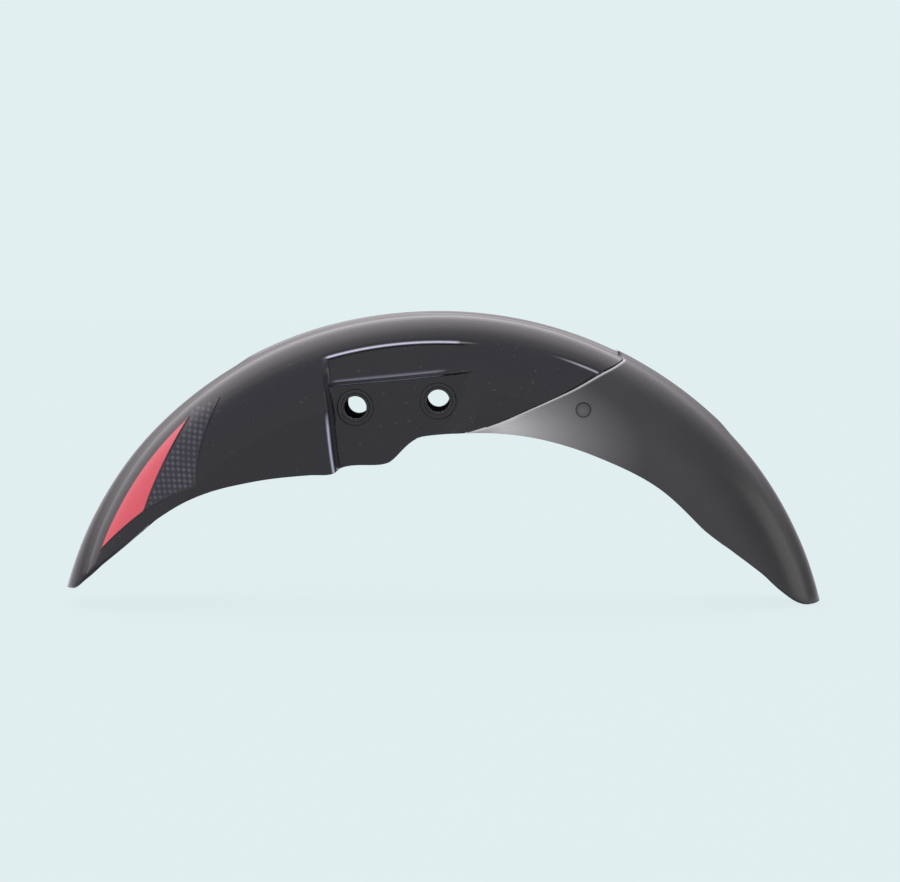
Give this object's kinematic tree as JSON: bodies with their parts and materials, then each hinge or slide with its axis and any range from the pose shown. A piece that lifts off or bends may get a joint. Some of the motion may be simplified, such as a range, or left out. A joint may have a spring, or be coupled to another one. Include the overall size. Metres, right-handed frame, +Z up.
{
  "type": "motorcycle front mudguard",
  "caption": "Arched front mudguard with a gloss front shell, flat fork pads with bolt holes, and a satin rear extension lapped over its tail.",
  "frame": {"origin": "middle of the bounding box; the wheel axle lies at X -0.0029, Z -0.2054 m", "axes": "+X rearward, +Y to the rider's right, +Z up, with the mudguard as it sits over the wheel"},
  "size_m": [0.6156, 0.134, 0.2376],
  "materials": {
    "gloss_black": "deep gloss black paint",
    "satin_grey": "satin dark grey, fine moulded texture",
    "red_film": "printed adhesive film, red with a dark outline",
    "weave_film": "printed adhesive film, dark woven pattern",
    "zinc_steel": "zinc plated"
  },
  "bodies": {
    "root": {"front_shell": "gloss_black", "rear_extension": "satin_grey", "flash_film_left": "red_film", "flash_film_right": "red_film", "weave_film_left": "weave_film", "weave_film_right": "weave_film", "joining_screws": "zinc_steel", "screw_washers": "zinc_steel"}
  },
  "joints": []
}
